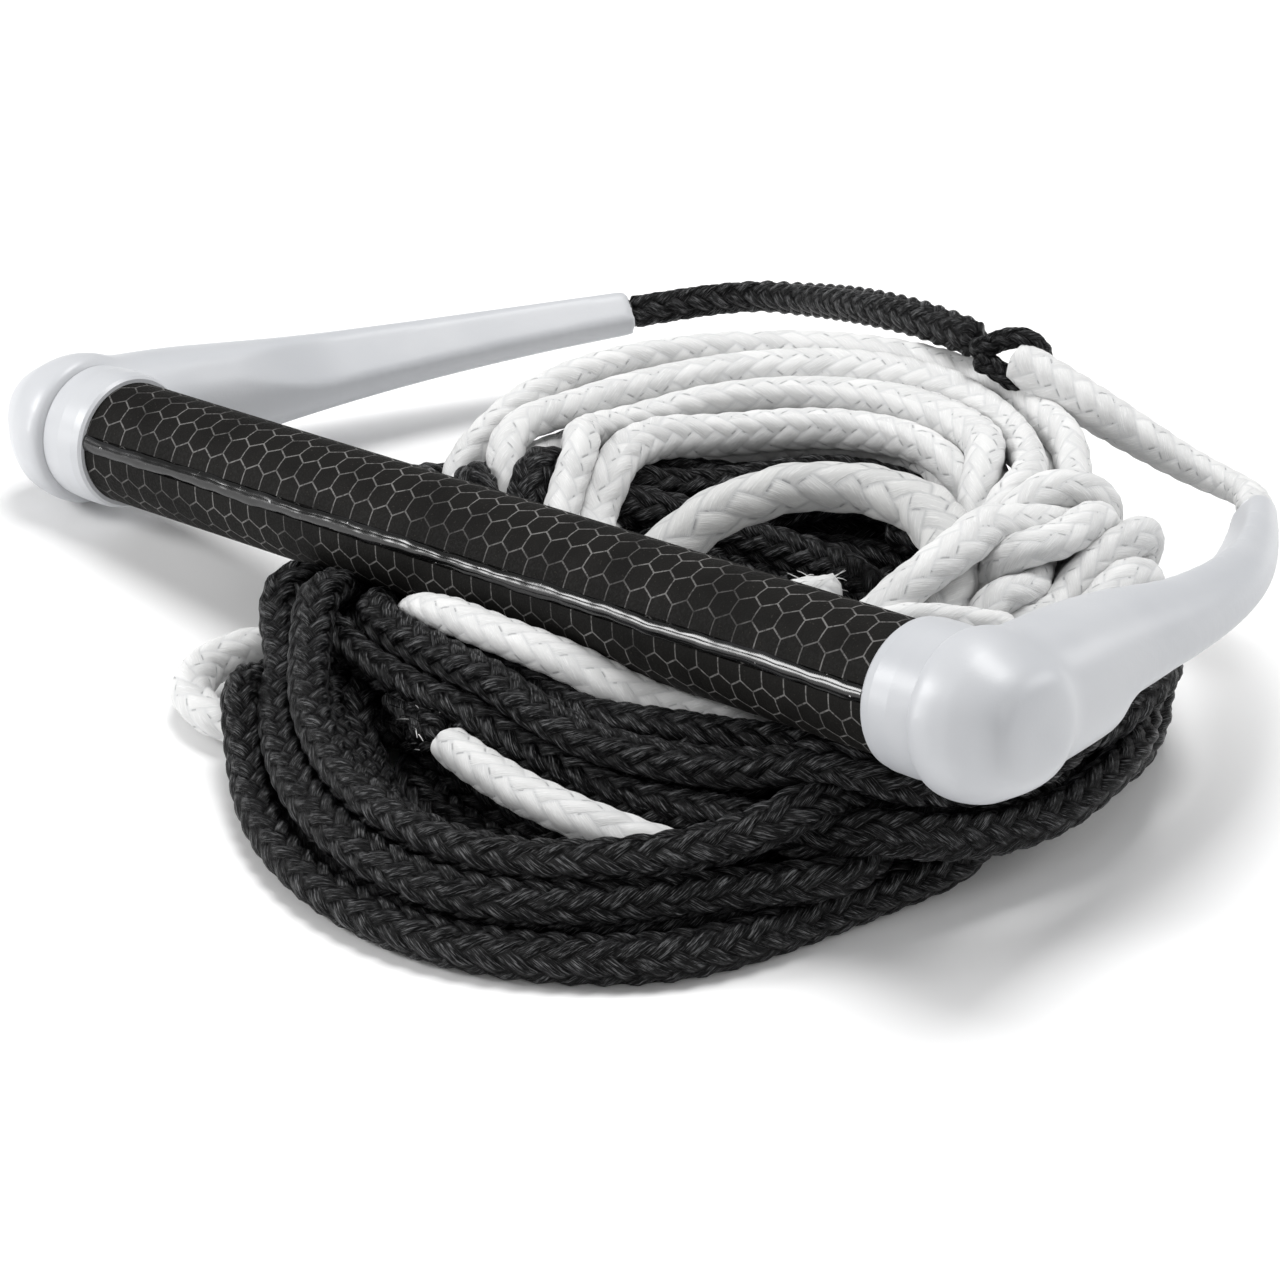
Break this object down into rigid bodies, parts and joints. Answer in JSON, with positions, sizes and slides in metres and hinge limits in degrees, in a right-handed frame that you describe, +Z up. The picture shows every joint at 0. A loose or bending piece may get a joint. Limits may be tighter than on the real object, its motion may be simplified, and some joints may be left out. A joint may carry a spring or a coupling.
{
  "type": "tow rope handle",
  "caption": "Straight foam-gripped tow handle with curved moulded arms, a rope bridle and a coiled braided tow line.",
  "frame": {"origin": "middle of the handle's own box in plan, at the floor it lies on", "axes": "+X along the bar from the left cap to the right cap, +Y from the bar towards its arms, +Z up; the handle lies across its coil, so the bar is tilted 7.4 degrees about Y"},
  "size_m": [0.3288, 0.2615, 0.075],
  "materials": {
    "grip_foam": "matte EVA foam printed with a fine hexagon line pattern",
    "seam_adhesive": "glossy black bead along the glued seam",
    "tube_metal": "drawn tube",
    "core_foam": "closed-cell foam rod",
    "plug_plastic": "moulded stopper",
    "cap_plastic": "satin pale grey moulding",
    "collar_plastic": "satin pale grey moulding",
    "washer_steel": "stainless washer",
    "black_bridle_rope": "braided filament rope, slight sheen",
    "white_bridle_rope": "braided filament rope, slight sheen",
    "black_tow_rope": "hollow-braided filament rope, slight sheen",
    "white_tow_rope": "hollow-braided filament rope, slight sheen",
    "whipping_twine": "waxed twine"
  },
  "bodies": {
    "root": {"grip_sleeve": "grip_foam", "grip_seam_bead": "seam_adhesive", "bar_tube": "tube_metal", "float_core": "core_foam", "left_tube_plug": "plug_plastic", "right_tube_plug": "plug_plastic", "left_end_cap": "cap_plastic", "right_end_cap": "cap_plastic", "left_collar": "collar_plastic", "right_collar": "collar_plastic", "left_stopper_washer": "washer_steel", "right_stopper_washer": "washer_steel", "left_stopper_knot": "black_bridle_rope", "left_inner_rope": "black_bridle_rope", "left_bridle_leg": "black_bridle_rope", "bridle_eye": "black_bridle_rope", "right_stopper_knot": "white_bridle_rope", "right_inner_rope": "white_bridle_rope", "right_bridle_leg": "white_bridle_rope", "black_rope_coil": "black_tow_rope", "section_splice": "black_tow_rope", "white_rope_coil": "white_tow_rope", "white_bight_hank": "white_tow_rope", "spliced_turn": "white_tow_rope", "front_section": "white_tow_rope", "boat_end_loop": "white_tow_rope", "whipped_rope_end": "white_tow_rope", "end_whipping": "whipping_twine"}
  },
  "joints": []
}
